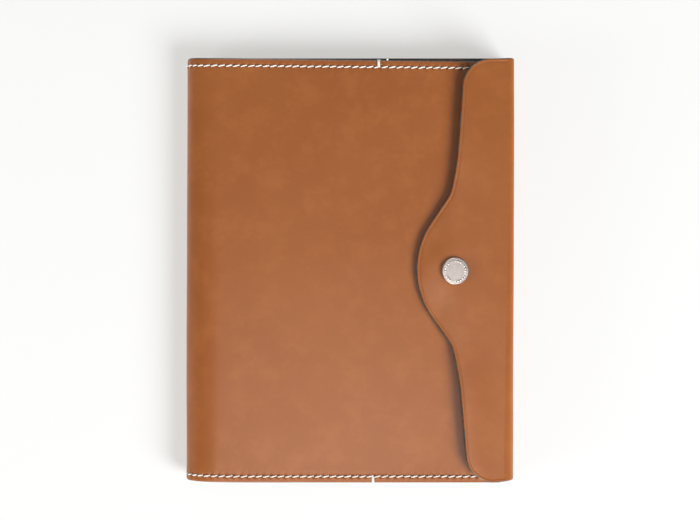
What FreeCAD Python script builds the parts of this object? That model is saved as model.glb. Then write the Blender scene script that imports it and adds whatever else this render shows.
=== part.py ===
import FreeCAD, Part
import math
import os

# A leather notebook cover with a shaped flap and a press stud, closed and lying on its back cover.
# Lengths are millimetres. +X runs from the spine to the fore edge, +Y to the head of the book, +Z up.
# The origin is on the table, under the middle of the cover.

# Overall size
COVER_LENGTH = 220.0
COVER_WIDTH = 170.4
BOOK_THICKNESS = 20.0

# Leather and lining
LEATHER = 2.0
LINING = 0.8
SLEEVE = 1.0
SLEEVE_SLOT = 1.6
SPINE_RADIUS = BOOK_THICKNESS / 2
FOLD_RADIUS = 6.0
FLAP_GAP = 2.4
GUSSET_GAP = 2.0
FOLD_CUT = 0.2
COVER_CORNER_RADIUS = 4.0
BACK_LINING_MARGIN = 1.5

# Sleeves: where the mouth starts at the head and at the tail, from the fore edge
FRONT_MOUTH_HEAD = 69.9
FRONT_MOUTH_TAIL = 72.9
BACK_MOUTH = 65.5
SLEEVE_BORDER = 4.1
SLEEVE_RISER = 0.7

# Stitching
STITCH_PITCH = 3.84
STITCH_LENGTH = 3.0
SPINE_INNER_STITCH_LENGTH = 2.0
STITCH_WIDTH = 0.8
STITCH_SLANT = 12.0
THREAD_THICKNESS = 0.3
ROW_INSET = 3.3
GROOVE_WIDTH = 1.8
GROOVE_DEPTH = 0.4
TACK_WIDTH = 1.5
TACK_CLEARANCE = 0.05
TACK_ROW_GAP = 0.75

# Flap outline, from the tip of its tongue
TONGUE_DEPTH = 50.6
TONGUE_OFFSET = 0.25
TONGUE_TILT = 0.5
TONGUE_RADIUS = 42.4
TONGUE_TURN = 34.4
SHOULDER_RUN = 15.8
SHOULDER_RADIUS = 13.3
SHOULDER_TURN = 20.8
WAIST_RADIUS = 156.0
WAIST_TURN = 9.2
FLAP_CORNER_RADIUS = 15.0

# Press stud
SNAP_FROM_FORE_EDGE = 30.6
SNAP_Y = -0.4
CAP_RADIUS = 7.0
CAP_HEIGHT = 1.6
CAP_RIM_RADIUS = 0.7
RIVET_RADIUS = 1.5
RIVET_HOLE_RADIUS = 1.6
RIVET_HEAD_RADIUS = 2.2
RIVET_HEAD_THICKNESS = 0.3
SOCKET_RADIUS = 5.5
SOCKET_ROOF = 0.4
SOCKET_BORE_RADIUS = 2.9
SOCKET_GROOVE_RADIUS = 3.1
SOCKET_LIP_RADIUS = 2.8
SOCKET_LIP = 0.15
SOCKET_GROOVE = 0.5
STUD_BASE_RADIUS = 5.0
STUD_BASE = 0.4
STUD_BASE_GAP = 0.1
STUD_NECK_RADIUS = 2.2
STUD_NECK = 0.75
STUD_HEAD_RADIUS = 2.7
STUD_HEAD = 0.45
STUD_BORE = 0.95
POST_FLANGE_RADIUS = 4.5
POST_FLANGE = 0.5
POST_RECESS_CLEARANCE = 0.1
POST_LENGTH = 2.4
SPRING_RING_RADIUS = 2.65
SPRING_WIRE_RADIUS = 0.2
SPRING_ANGLE = 330.0

# Worked out from the sizes above
HALF_LENGTH = COVER_LENGTH / 2
HALF_WIDTH = COVER_WIDTH / 2
FLAP_TOP = BOOK_THICKNESS + FLAP_GAP + LEATHER
FRONT_EDGE_X = HALF_WIDTH - LEATHER - GUSSET_GAP
SPINE_X = SPINE_RADIUS - HALF_WIDTH
FOLD_X = HALF_WIDTH - FOLD_RADIUS
BACK_EDGE_X = FOLD_X - BACK_LINING_MARGIN
SLEEVE_DEPTH = LEATHER + LINING
SNAP_X = HALF_WIDTH - SNAP_FROM_FORE_EDGE
ROW_Y = HALF_LENGTH - ROW_INSET

# The outer face, seen as one strip: it starts at the front cover's fore edge, goes round the spine, under the
# back, up the gusset and over the flap. Each stretch is a length and a bend radius, 0 where it is straight.
FRONT_RUN = FRONT_EDGE_X - SPINE_X
SPINE_RUN = math.pi * SPINE_RADIUS
BACK_RUN = FOLD_X - SPINE_X
FOLD_RUN = math.pi / 2 * FOLD_RADIUS
GUSSET_RUN = FLAP_TOP - 2 * FOLD_RADIUS
ROUTE = [
    (FRONT_RUN, 0),
    (SPINE_RUN, SPINE_RADIUS),
    (BACK_RUN, 0),
    (FOLD_RUN, FOLD_RADIUS),
    (GUSSET_RUN, 0),
    (FOLD_RUN, FOLD_RADIUS),
]
ROUTE_START = FreeCAD.Vector(FRONT_EDGE_X, BOOK_THICKNESS, 0)
SPINE_START = FRONT_RUN
SPINE_HINGES = [SPINE_START + SPINE_RUN * part / 6 for part in (1, 3, 5)]
BACK_START = SPINE_START + SPINE_RUN
BACK_LINING_END = BACK_START + BACK_EDGE_X - SPINE_X
GUSSET_HINGE = BACK_START + BACK_RUN + FOLD_RUN / 2
FLAP_HINGE = BACK_START + BACK_RUN + FOLD_RUN + GUSSET_RUN + FOLD_RUN / 2
ROUTE_END = sum(length for length, radius in ROUTE)

# The tacks: their x, and +1 at the head or -1 at the tail
FRONT_TACKS = [(HALF_WIDTH - FRONT_MOUTH_HEAD, 1), (HALF_WIDTH - FRONT_MOUTH_TAIL, -1)]
BACK_TACKS = [(HALF_WIDTH - BACK_MOUTH, side) for side in (1, -1)]


def save(name, shape):
    """Write one node's STEP file."""
    shape.exportStep("parts/" + name + ".step")
    print(name, len(shape.Solids), round(shape.Volume, 1), shape.isValid())


# Paths made of straight and bent stretches

def left_of(heading):
    """The unit vector to the left of a heading, in the path's own plane."""
    return FreeCAD.Vector(-math.sin(heading), math.cos(heading), 0)


def advance(point, heading, length, radius):
    """The point and heading at the end of a stretch. A negative radius turns right."""
    if radius == 0:
        return point + FreeCAD.Vector(math.cos(heading), math.sin(heading), 0) * length, heading
    centre = point + left_of(heading) * radius
    turned = heading + length / radius
    return centre - left_of(turned) * radius, turned


def path_edges(point, heading, stretches):
    """The edges of a path, and its last point."""
    edges = []
    for length, radius in stretches:
        end, next_heading = advance(point, heading, length, radius)
        if radius == 0:
            edges.append(Part.LineSegment(point, end).toShape())
        else:
            middle = advance(point, heading, length / 2, radius)[0]
            edges.append(Part.Arc(point, middle, end).toShape())
        point = end
        heading = next_heading
    return edges, point


def route_piece(begin, end):
    """The start, heading and stretches of the outer face between two stations."""
    point = ROUTE_START
    heading = math.pi
    station = 0.0
    start = None
    stretches = []
    for length, radius in ROUTE:
        low = max(begin, station)
        high = min(end, station + length)
        if high > low:
            if start is None:
                start = advance(point, heading, low - station, radius)
            stretches.append((high - low, radius))
        point, heading = advance(point, heading, length, radius)
        station += length
    return start[0], start[1], stretches


def band(begin, end, near, far, low_y=-HALF_LENGTH, high_y=HALF_LENGTH):
    """The solid between two depths under the outer face, from one station to another."""
    start, heading, stretches = route_piece(begin, end)
    edges = []
    starts = []
    ends = []
    for depth in (near, far):
        inset = []
        for length, radius in stretches:
            scale = (radius - depth) / radius if radius else 1.0
            inset.append((length * scale, radius - depth if radius else 0))
        first = start + left_of(heading) * depth
        side, last = path_edges(first, heading, inset)
        edges += side
        starts.append(first)
        ends.append(last)
    edges.append(Part.LineSegment(*starts).toShape())
    edges.append(Part.LineSegment(*ends).toShape())
    face = Part.Face(Part.Wire(Part.__sortEdges__(edges)))
    solid = face.extrude(FreeCAD.Vector(0, 0, high_y - low_y))
    solid.rotate(FreeCAD.Vector(0, 0, 0), FreeCAD.Vector(1, 0, 0), 90)
    solid.translate(FreeCAD.Vector(0, high_y, 0))
    return solid


def slab(corners, low_z, high_z):
    """A flat plate with the given corners in plan."""
    points = [FreeCAD.Vector(x, y, low_z) for x, y in corners]
    points.append(points[0])
    return Part.Face(Part.makePolygon(points)).extrude(FreeCAD.Vector(0, 0, high_z - low_z))


def block(low, high):
    """A box between two corners."""
    size = [high[axis] - low[axis] for axis in range(3)]
    return Part.makeBox(size[0], size[1], size[2], FreeCAD.Vector(*low))


def disc(radius, low_z, high_z):
    """A round disc on the press stud's axis."""
    return Part.makeCylinder(radius, high_z - low_z, FreeCAD.Vector(SNAP_X, SNAP_Y, low_z))


def round_fore_corners(solid, edge_x):
    """Round the two corners of a cover panel at its fore edge."""
    radius = COVER_CORNER_RADIUS
    reach = radius + 1.0
    for side in (-1, 1):
        centre_x = edge_x - radius
        centre_y = side * (HALF_LENGTH - radius)
        outside_y = centre_y + side * reach
        corner = block((centre_x, min(centre_y, outside_y), -1.0),
                       (centre_x + reach, max(centre_y, outside_y), FLAP_TOP))
        keep = Part.makeCylinder(radius, FLAP_TOP + 1.0, FreeCAD.Vector(centre_x, centre_y, -1.0))
        solid = solid.cut(corner.cut(keep))
    return solid


def to_front(solid):
    """Turn a piece drawn on the back cover over onto the front cover."""
    return solid.mirror(FreeCAD.Vector(0, 0, BOOK_THICKNESS / 2), FreeCAD.Vector(0, 0, 1))


# Stitching

def row_grooves(begin, end):
    """The two creased grooves that the head and tail rows lie in, between two stations."""
    grooves = []
    for side in (-1, 1):
        grooves.append(band(begin, end, 0.0, GROOVE_DEPTH,
                            side * ROW_Y - GROOVE_WIDTH / 2, side * ROW_Y + GROOVE_WIDTH / 2))
    return grooves


def edge_groove(x):
    """The groove of a fore-edge row, drawn on the back cover."""
    return block((x - GROOVE_WIDTH / 2, -ROW_Y, -1.0), (x + GROOVE_WIDTH / 2, ROW_Y, GROOVE_DEPTH))


def stitch(station, y, depth, length, slant):
    """One stitch of a head or tail row: a short slanted bar whose outer side is at a depth."""
    start, heading, _ = route_piece(station, station + length)
    bar = Part.makeBox(length, STITCH_WIDTH, THREAD_THICKNESS,
                       FreeCAD.Vector(-length / 2, -STITCH_WIDTH / 2, depth))
    bar.rotate(FreeCAD.Vector(0, 0, 0), FreeCAD.Vector(0, 0, 1), slant)
    bar.rotate(FreeCAD.Vector(0, 0, 0), FreeCAD.Vector(0, 1, 0), -math.degrees(heading))
    bar.translate(FreeCAD.Vector(start.x, y, start.y))
    return bar


def row_stations(begin, end):
    """The stations of the stitches that lie wholly between two stations."""
    stations = []
    station = ROW_INSET + STITCH_WIDTH + STITCH_LENGTH / 2
    while station + STITCH_LENGTH / 2 < end:
        if station - STITCH_LENGTH / 2 > begin:
            stations.append(station)
        station += STITCH_PITCH
    return stations


def row(side, begin, end, sleeve_begin, sleeve_end):
    """A head or tail row on both faces: outside in its groove, inside on the lining or the sleeve."""
    bars = []
    half = STITCH_LENGTH / 2
    for station in row_stations(begin, end):
        outer_depth = GROOVE_DEPTH - THREAD_THICKNESS
        bars.append(stitch(station, side * ROW_Y, outer_depth, STITCH_LENGTH, STITCH_SLANT))
        inner_depth = SLEEVE_DEPTH
        length = STITCH_LENGTH
        if sleeve_begin - half < station < sleeve_end + half:
            inner_depth += SLEEVE
        if SPINE_START - half < station < BACK_START + half:
            length = SPINE_INNER_STITCH_LENGTH
            inner_radius = SPINE_RADIUS - SLEEVE_DEPTH
            inner_depth = SPINE_RADIUS - math.sqrt(inner_radius ** 2 - (length / 2) ** 2)
        bars.append(stitch(station, side * ROW_Y, inner_depth, length, -STITCH_SLANT))
    return Part.makeCompound(bars)


def edge_row(x):
    """A fore-edge row on both faces of the back cover."""
    count = round(2 * ROW_Y / STITCH_PITCH)
    pitch = 2 * ROW_Y / count
    bars = []
    for index in range(count):
        y = -ROW_Y + (index + 0.5) * pitch
        for depth, slant in ((GROOVE_DEPTH - THREAD_THICKNESS, STITCH_SLANT),
                             (SLEEVE_DEPTH + SLEEVE, -STITCH_SLANT)):
            bar = Part.makeBox(STITCH_LENGTH, STITCH_WIDTH, THREAD_THICKNESS,
                               FreeCAD.Vector(-STITCH_LENGTH / 2, -STITCH_WIDTH / 2, depth))
            bar.rotate(FreeCAD.Vector(0, 0, 0), FreeCAD.Vector(0, 0, 1), 90 + slant)
            bar.translate(FreeCAD.Vector(x, y, 0))
            bars.append(bar)
    return Part.makeCompound(bars)


def tack(x, side):
    """Thread wrapped over the cover's edge at a sleeve's mouth, drawn on the back cover."""
    row_edge = side * (ROW_Y + TACK_ROW_GAP)
    outer_edge = side * (HALF_LENGTH - GROOVE_DEPTH + THREAD_THICKNESS)
    inner_edge = side * (HALF_LENGTH - GROOVE_DEPTH)
    low_x = x - TACK_WIDTH / 2
    high_x = x + TACK_WIDTH / 2
    outside = GROOVE_DEPTH - THREAD_THICKNESS
    inside = SLEEVE_DEPTH + SLEEVE + THREAD_THICKNESS
    parts = []
    for near_y, low_z, high_z in ((row_edge, outside, GROOVE_DEPTH),
                                  (inner_edge, outside, inside),
                                  (row_edge, inside - THREAD_THICKNESS, inside)):
        low = (low_x, min(near_y, outer_edge), low_z)
        high = (high_x, max(near_y, outer_edge), high_z)
        parts.append(block(low, high))
    return parts[0].fuse(parts[1:]).removeSplitter()


def tack_notch(x, side):
    """The room that a tack presses into the edge, drawn on the back cover."""
    low_x = x - TACK_WIDTH / 2 - TACK_CLEARANCE
    high_x = x + TACK_WIDTH / 2 + TACK_CLEARANCE
    outside = side * (HALF_LENGTH + 1.0)
    cuts = []
    for near_y, high_z in ((side * (ROW_Y + GROOVE_WIDTH / 2 - TACK_CLEARANCE), GROOVE_DEPTH),
                           (side * (HALF_LENGTH - GROOVE_DEPTH), SLEEVE_DEPTH + 2 * SLEEVE)):
        cuts.append(block((low_x, min(near_y, outside), -1.0), (high_x, max(near_y, outside), high_z)))
    return cuts[0].fuse(cuts[1])


# Leather and lining

def sleeve(mouth_head, mouth_tail, edge_x):
    """A sleeve sewn down on three sides and raised between them, drawn on the back cover.
    It is divided at its folds into flat solids: the panel, three risers and three sewn borders."""
    def mouth(y):
        share = (y + HALF_LENGTH) / COVER_LENGTH
        return HALF_WIDTH - mouth_tail + (mouth_tail - mouth_head) * share

    def strip(low_y, high_y, end_x, low_z, high_z):
        corners = [(mouth(high_y), high_y), (end_x, high_y), (end_x, low_y), (mouth(low_y), low_y)]
        return slab(corners, low_z, high_z)

    panel_low = SLEEVE_DEPTH + SLEEVE_SLOT
    border_y = HALF_LENGTH - SLEEVE_BORDER
    slot_y = border_y - SLEEVE_RISER
    border_x = edge_x - SLEEVE_BORDER
    slot_x = border_x - SLEEVE_RISER
    solids = [
        strip(-border_y, border_y, border_x, panel_low, panel_low + SLEEVE),
        strip(slot_y, border_y, border_x, SLEEVE_DEPTH, panel_low),
        strip(-border_y, -slot_y, border_x, SLEEVE_DEPTH, panel_low),
        block((slot_x, -slot_y, SLEEVE_DEPTH), (border_x, slot_y, panel_low)),
        strip(border_y, HALF_LENGTH, border_x, SLEEVE_DEPTH, SLEEVE_DEPTH + SLEEVE),
        strip(-HALF_LENGTH, -border_y, border_x, SLEEVE_DEPTH, SLEEVE_DEPTH + SLEEVE),
    ]
    fore = block((border_x, -HALF_LENGTH, SLEEVE_DEPTH), (edge_x, HALF_LENGTH, SLEEVE_DEPTH + SLEEVE))
    return solids + [round_fore_corners(fore, edge_x)]


def flap_outline_side(side):
    """The flap's edge from the tip of its tongue to the fold, on one side of the tongue."""
    tip = FreeCAD.Vector(HALF_WIDTH - TONGUE_DEPTH, TONGUE_OFFSET, 0)
    toward_edge = -side
    heading = side * math.pi / 2 + math.radians(TONGUE_TILT)
    curves = [
        (math.radians(TONGUE_TURN) * TONGUE_RADIUS, toward_edge * TONGUE_RADIUS),
        (SHOULDER_RUN, 0),
        (math.radians(SHOULDER_TURN) * SHOULDER_RADIUS, -toward_edge * SHOULDER_RADIUS),
        (math.radians(WAIST_TURN) * WAIST_RADIUS, -toward_edge * WAIST_RADIUS),
    ]
    point = tip
    bearing = heading
    for length, radius in curves:
        point, bearing = advance(point, bearing, length, radius)
    corner_rise = FLAP_CORNER_RADIUS * (1 - math.cos(bearing))
    rest = HALF_LENGTH - abs(point.y) - corner_rise
    curves.append((rest / math.sin(abs(bearing)), 0))
    curves.append((abs(bearing) * FLAP_CORNER_RADIUS, toward_edge * FLAP_CORNER_RADIUS))
    edges, last = path_edges(tip, heading, curves)
    edges.append(Part.LineSegment(last, FreeCAD.Vector(FOLD_X, last.y, 0)).toShape())
    return edges, FreeCAD.Vector(FOLD_X, last.y, 0)


def make_flap():
    """The shaped flap, with the half fold that joins it to the gusset."""
    head_edges, head_end = flap_outline_side(1)
    tail_edges, tail_end = flap_outline_side(-1)
    edges = head_edges + tail_edges + [Part.LineSegment(head_end, tail_end).toShape()]
    face = Part.Face(Part.Wire(Part.__sortEdges__(edges)))
    plate = face.extrude(FreeCAD.Vector(0, 0, LEATHER))
    plate.translate(FreeCAD.Vector(0, 0, FLAP_TOP - LEATHER))
    fold = band(FLAP_HINGE + FOLD_CUT / 2, ROUTE_END, 0.0, LEATHER)
    flap = plate.fuse(fold).removeSplitter()
    return flap.cut(disc(RIVET_HOLE_RADIUS, BOOK_THICKNESS, FLAP_TOP + 1.0))


def make_outer_pieces():
    """The outer leather, in the pieces that turn separately."""
    cut = FOLD_CUT / 2
    low_hinge, middle_hinge, high_hinge = SPINE_HINGES[2], SPINE_HINGES[1], SPINE_HINGES[0]

    front = band(0.0, high_hinge - cut, 0.0, LEATHER)
    front = front.cut(row_grooves(0.0, high_hinge) + [to_front(edge_groove(FRONT_EDGE_X - ROW_INSET))])
    front = front.cut([to_front(tack_notch(x, side)) for x, side in FRONT_TACKS])
    front = round_fore_corners(front, FRONT_EDGE_X)
    front_inside = BOOK_THICKNESS - LEATHER
    front = front.cut(disc(RIVET_HOLE_RADIUS, front_inside - 1.0, BOOK_THICKNESS + 1.0))
    recess_radius = POST_FLANGE_RADIUS + POST_RECESS_CLEARANCE
    front = front.cut(disc(recess_radius, front_inside - 1.0, front_inside + POST_FLANGE))
    save("outer_front", front)

    for name, begin, end in (("outer_spine_upper", high_hinge, middle_hinge),
                             ("outer_spine_lower", middle_hinge, low_hinge)):
        piece = band(begin + cut, end - cut, 0.0, LEATHER)
        save(name, piece.cut(row_grooves(begin, end)))

    back = band(low_hinge + cut, GUSSET_HINGE - cut, 0.0, LEATHER)
    back = back.cut(row_grooves(low_hinge, BACK_LINING_END) + [edge_groove(BACK_EDGE_X - ROW_INSET)])
    back = back.cut([tack_notch(x, side) for x, side in BACK_TACKS])
    save("outer_back", back)

    save("outer_gusset", band(GUSSET_HINGE + cut, FLAP_HINGE - cut, 0.0, LEATHER))
    save("outer_flap", make_flap())


def make_linings():
    """The lining of the front, spine and back, in the same moving pieces as the leather."""
    cut = FOLD_CUT / 2
    low_hinge, middle_hinge, high_hinge = SPINE_HINGES[2], SPINE_HINGES[1], SPINE_HINGES[0]
    front = band(0.0, high_hinge - cut, LEATHER, SLEEVE_DEPTH)
    front = front.cut([to_front(tack_notch(x, side)) for x, side in FRONT_TACKS])
    save("lining_front", round_fore_corners(front, FRONT_EDGE_X))
    save("lining_spine_upper", band(high_hinge + cut, middle_hinge - cut, LEATHER, SLEEVE_DEPTH))
    save("lining_spine_lower", band(middle_hinge + cut, low_hinge - cut, LEATHER, SLEEVE_DEPTH))
    back = band(low_hinge + cut, BACK_LINING_END, LEATHER, SLEEVE_DEPTH)
    save("lining_back", back.cut([tack_notch(x, side) for x, side in BACK_TACKS]))


def make_sleeves():
    """The two sleeves that the notebook's own covers slide into."""
    front = sleeve(FRONT_MOUTH_HEAD, FRONT_MOUTH_TAIL, FRONT_EDGE_X)
    notches = [tack_notch(x, side) for x, side in FRONT_TACKS]
    save("front_sleeve", Part.makeCompound([to_front(solid.cut(notches)) for solid in front]))
    back = sleeve(BACK_MOUTH, BACK_MOUTH, BACK_EDGE_X)
    notches = [tack_notch(x, side) for x, side in BACK_TACKS]
    save("back_sleeve", Part.makeCompound([solid.cut(notches) for solid in back]))


def make_stitching():
    """The saddle-stitched seams and the tacks at the sleeve mouths."""
    low_hinge, middle_hinge, high_hinge = SPINE_HINGES[2], SPINE_HINGES[1], SPINE_HINGES[0]
    front_step = FRONT_EDGE_X - HALF_WIDTH
    back_sleeve_begin = BACK_LINING_END - (BACK_EDGE_X - HALF_WIDTH + BACK_MOUTH)
    for name, side, mouth in (("top", 1, FRONT_MOUTH_HEAD), ("bottom", -1, FRONT_MOUTH_TAIL)):
        front = row(side, ROW_INSET, high_hinge, 0.0, front_step + mouth)
        save("front_" + name + "_seam", front)
        back = row(side, low_hinge, BACK_LINING_END - ROW_INSET, back_sleeve_begin, BACK_LINING_END)
        save("back_" + name + "_seam", back)
    save("front_edge_seam", to_front(edge_row(FRONT_EDGE_X - ROW_INSET)))
    save("back_edge_seam", edge_row(BACK_EDGE_X - ROW_INSET))
    for name, begin, end in (("spine_upper_stitches", high_hinge, middle_hinge),
                             ("spine_lower_stitches", middle_hinge, low_hinge)):
        save(name, Part.makeCompound([row(side, begin, end, 0.0, 0.0) for side in (-1, 1)]))
    save("front_tacks", Part.makeCompound([to_front(tack(x, side)) for x, side in FRONT_TACKS]))
    save("back_tacks", Part.makeCompound([tack(x, side) for x, side in BACK_TACKS]))


def make_press_stud():
    """The cap, socket and spring on the flap, and the stud and its post on the front cover."""
    flap_inside = FLAP_TOP - LEATHER
    rivet_head_top = flap_inside - SOCKET_ROOF
    cap = disc(CAP_RADIUS, FLAP_TOP, FLAP_TOP + CAP_HEIGHT)
    rim = [edge for edge in cap.Edges if edge.CenterOfMass.z > FLAP_TOP + CAP_HEIGHT - 0.01]
    cap = cap.makeFillet(CAP_RIM_RADIUS, rim)
    shank = disc(RIVET_RADIUS, rivet_head_top, FLAP_TOP)
    rivet_head = disc(RIVET_HEAD_RADIUS, rivet_head_top - RIVET_HEAD_THICKNESS, rivet_head_top)
    save("snap_cap", cap.fuse([shank, rivet_head]).removeSplitter())

    socket_low = BOOK_THICKNESS + STUD_BASE + STUD_BASE_GAP
    groove_low = socket_low + SOCKET_LIP
    groove_high = groove_low + SOCKET_GROOVE
    socket = disc(SOCKET_RADIUS, socket_low, flap_inside)
    socket = socket.cut([disc(SOCKET_LIP_RADIUS, socket_low - 1.0, groove_low),
                         disc(SOCKET_GROOVE_RADIUS, groove_low, groove_high),
                         disc(SOCKET_BORE_RADIUS, groove_high, rivet_head_top),
                         disc(RIVET_HOLE_RADIUS, rivet_head_top, flap_inside + 1.0)])
    save("snap_socket", socket)

    spring_z = (groove_low + groove_high) / 2
    ring = Part.makeTorus(SPRING_RING_RADIUS, SPRING_WIRE_RADIUS, FreeCAD.Vector(SNAP_X, SNAP_Y, spring_z),
                          FreeCAD.Vector(0, 0, 1), 0, 360, SPRING_ANGLE)
    save("snap_spring", ring)

    neck_low = BOOK_THICKNESS + STUD_BASE
    head_low = neck_low + STUD_NECK
    stud = disc(STUD_BASE_RADIUS, BOOK_THICKNESS, neck_low)
    stud = stud.fuse([disc(STUD_NECK_RADIUS, neck_low, head_low),
                      disc(STUD_HEAD_RADIUS, head_low, head_low + STUD_HEAD)]).removeSplitter()
    save("snap_stud", stud.cut(disc(RIVET_HOLE_RADIUS, BOOK_THICKNESS - 1.0, BOOK_THICKNESS + STUD_BORE)))

    flange_low = BOOK_THICKNESS - LEATHER
    flange = disc(POST_FLANGE_RADIUS, flange_low, flange_low + POST_FLANGE)
    post = disc(RIVET_RADIUS, flange_low + POST_FLANGE, flange_low + POST_FLANGE + POST_LENGTH)
    save("snap_post", flange.fuse(post).removeSplitter())


os.makedirs("parts", exist_ok=True)
make_outer_pieces()
make_linings()
make_sleeves()
make_stitching()
make_press_stud()
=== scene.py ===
import bpy, bmesh, math
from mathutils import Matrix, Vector, noise
from mathutils.geometry import delaunay_2d_cdt


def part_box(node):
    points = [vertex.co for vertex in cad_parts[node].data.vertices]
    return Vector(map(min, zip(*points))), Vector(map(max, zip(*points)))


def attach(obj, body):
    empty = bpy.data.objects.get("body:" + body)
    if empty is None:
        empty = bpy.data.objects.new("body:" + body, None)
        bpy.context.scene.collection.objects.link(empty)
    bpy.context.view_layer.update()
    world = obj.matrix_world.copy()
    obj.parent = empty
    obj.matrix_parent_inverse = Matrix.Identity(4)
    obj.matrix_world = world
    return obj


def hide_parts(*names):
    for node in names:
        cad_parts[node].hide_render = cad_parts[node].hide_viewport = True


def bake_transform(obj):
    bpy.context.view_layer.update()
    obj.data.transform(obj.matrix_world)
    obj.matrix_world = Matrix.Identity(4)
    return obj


# A leather notebook cover, closed, with a shaped flap and a press stud.
# The sheets are drawn as flat patterns and then folded. A pattern point is (station, y, depth): the station
# runs along the outer face from the front cover's fore edge, round the spine, under the back, up the gusset
# and over the flap, y runs from tail to head, and depth goes inwards. All are millimetres.

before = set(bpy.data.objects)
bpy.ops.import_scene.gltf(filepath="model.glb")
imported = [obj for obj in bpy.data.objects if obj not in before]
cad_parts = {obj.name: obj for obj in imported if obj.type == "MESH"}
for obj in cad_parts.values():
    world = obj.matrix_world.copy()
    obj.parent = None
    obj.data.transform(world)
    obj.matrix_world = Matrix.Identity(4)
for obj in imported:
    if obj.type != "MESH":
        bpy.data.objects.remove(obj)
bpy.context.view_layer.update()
MM = 0.001

# Sizes, from the parts in model.glb
cap_low, cap_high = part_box("snap_cap")
FRONT_EDGE_X, HALF_LENGTH, FRONT_TOP = (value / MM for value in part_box("outer_front")[1])
HALF_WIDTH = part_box("outer_gusset")[1][0] / MM
FLAP_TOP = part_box("outer_flap")[1][2] / MM
SNAP_X = (cap_low[0] + cap_high[0]) / 2 / MM
SNAP_Y = (cap_low[1] + cap_high[1]) / 2 / MM
CAP_RADIUS = (cap_high[0] - cap_low[0]) / 2 / MM
CAP_TOP = cap_high[2] / MM
SOCKET_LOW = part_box("snap_socket")[0][2] / MM
STUD_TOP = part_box("snap_stud")[1][2] / MM
LINING_EDGE_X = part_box("lining_back")[1][0] / MM
LEATHER = 2.0
LINING = 0.8
SLEEVE = 1.0
SLEEVE_SLOT = 1.6
FOLD_RADIUS = 6.0
SPINE_RADIUS = FRONT_TOP / 2
INSIDE = LEATHER + LINING

# The route of the outer face, as in the part
SPINE_X = SPINE_RADIUS - HALF_WIDTH
FOLD_X = HALF_WIDTH - FOLD_RADIUS
FRONT_RUN = FRONT_EDGE_X - SPINE_X
SPINE_RUN = math.pi * SPINE_RADIUS
BACK_RUN = FOLD_X - SPINE_X
FOLD_RUN = math.pi / 2 * FOLD_RADIUS
GUSSET_RUN = FLAP_TOP - 2 * FOLD_RADIUS
FLAP_RUN = HALF_WIDTH
ROUTE = [(FRONT_RUN, 0), (SPINE_RUN, SPINE_RADIUS), (BACK_RUN, 0),
         (FOLD_RUN, FOLD_RADIUS), (GUSSET_RUN, 0), (FOLD_RUN, FOLD_RADIUS), (FLAP_RUN, 0)]
BACK_START = FRONT_RUN + SPINE_RUN
FOLD_START = BACK_START + BACK_RUN
FLAP_START = FOLD_START + 2 * FOLD_RUN + GUSSET_RUN
UPPER_CUT = FRONT_RUN + SPINE_RUN / 3
LOWER_CUT = FRONT_RUN + SPINE_RUN * 2 / 3
BACK_CUT = BACK_START + BACK_RUN / 2
GUSSET_CUT = FOLD_START + FOLD_RUN + GUSSET_RUN / 2
LINING_END = BACK_START + LINING_EDGE_X - SPINE_X

# Edges
RIM_STEPS = 4
LEATHER_RIM = 0.8
LINING_RIM = 0.3
SLEEVE_RIM = 0.45
CORNER_RADIUS = 4.0
MOUTH_CORNER_RADIUS = 1.5
HEAD_TRIM = 1.8
HEAD_TRIM_RUN = 150.0
HEAD_ROW_DROP = 0.40
HEAD_ROW_MORE = 0.35
SPINE_HEAD_FLARE = 0.7
TAIL_LIFT = 0.30
FLAP_HEAD_TRIM = 0.95
FLAP_TAIL_TRIM = 0.5
FOLD_TAIL_TRIM = 1.1
FOLD_HEAD_EASE = 0.35

# How the folded leather leaves its drawn route
FORE_BULGE = 0.4
FORE_LEAN = 0.17
SPINE_BULGE = 0.17
SPINE_LEAN = 0.60
SPINE_EARLY = 7.0
HEAD_CREASE_RADIUS = 3.2
TAIL_CREASE_RADIUS = 5.8

# How a face leaves its sheet
SLOW_SWELL = 0.22
QUICK_SWELL = 0.06
BACK_INSET = 0.24
GROOVE = 0.20
BACK_GROOVE = 0.55
PUCKER = 0.17
WIDE_PUCKER = 0.05
EDGE_ROLL = 0.18
TONGUE_DISH = 0.30
TONGUE_HANG = 1.4
FLAP_END_RISE = 0.9
FLAP_LINE_INSET = 1.75
FLAP_LINE_DEPTH = 0.18
FLAP_LINE_WIDTH = 0.34

# Stitching
PITCH = 3.84
ROW_INSET = 3.3
ROW_Y = HALF_LENGTH - ROW_INSET
STITCH_LENGTH = 3.0
STITCH_RISE = 0.34
INSIDE_RISE = -0.6 * STITCH_RISE
INSIDE_SUNK = 0.1
BACK_SUNK = 0.78
THREAD_RADIUS = 0.35
THREAD_LOBES = 0.14
THREAD_SECTIONS = 8
THREAD_TIP = 0.55
THREAD_TWIST = 0.55
FIRST_STITCH = ROW_INSET + PITCH / 2
EDGE_ROWS = (ROW_INSET, LINING_END - ROW_INSET)
FRONT_TACKS = ((HALF_WIDTH - 69.9, 1), (HALF_WIDTH - 72.9, -1))
BACK_TACKS = ((HALF_WIDTH - 65.5, 1), (HALF_WIDTH - 65.5, -1))
TACK_RADIUS = 0.27
TACK_SPACING = 0.38
TACK_PROUD = 0.12
THREAD_END_GAP = 4.5
THREAD_END_RADIUS = 0.46

# Press stud
CAP_SEGMENTS = 320
STUD_SEGMENTS = 96
CAP_ROUND = 0.62
CAP_CROWN = 0.03
ROUND_STEPS = 5
RING_RADIUS = 5.25
RING_BEADS = 24
BEAD_HEIGHT = 0.10

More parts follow.
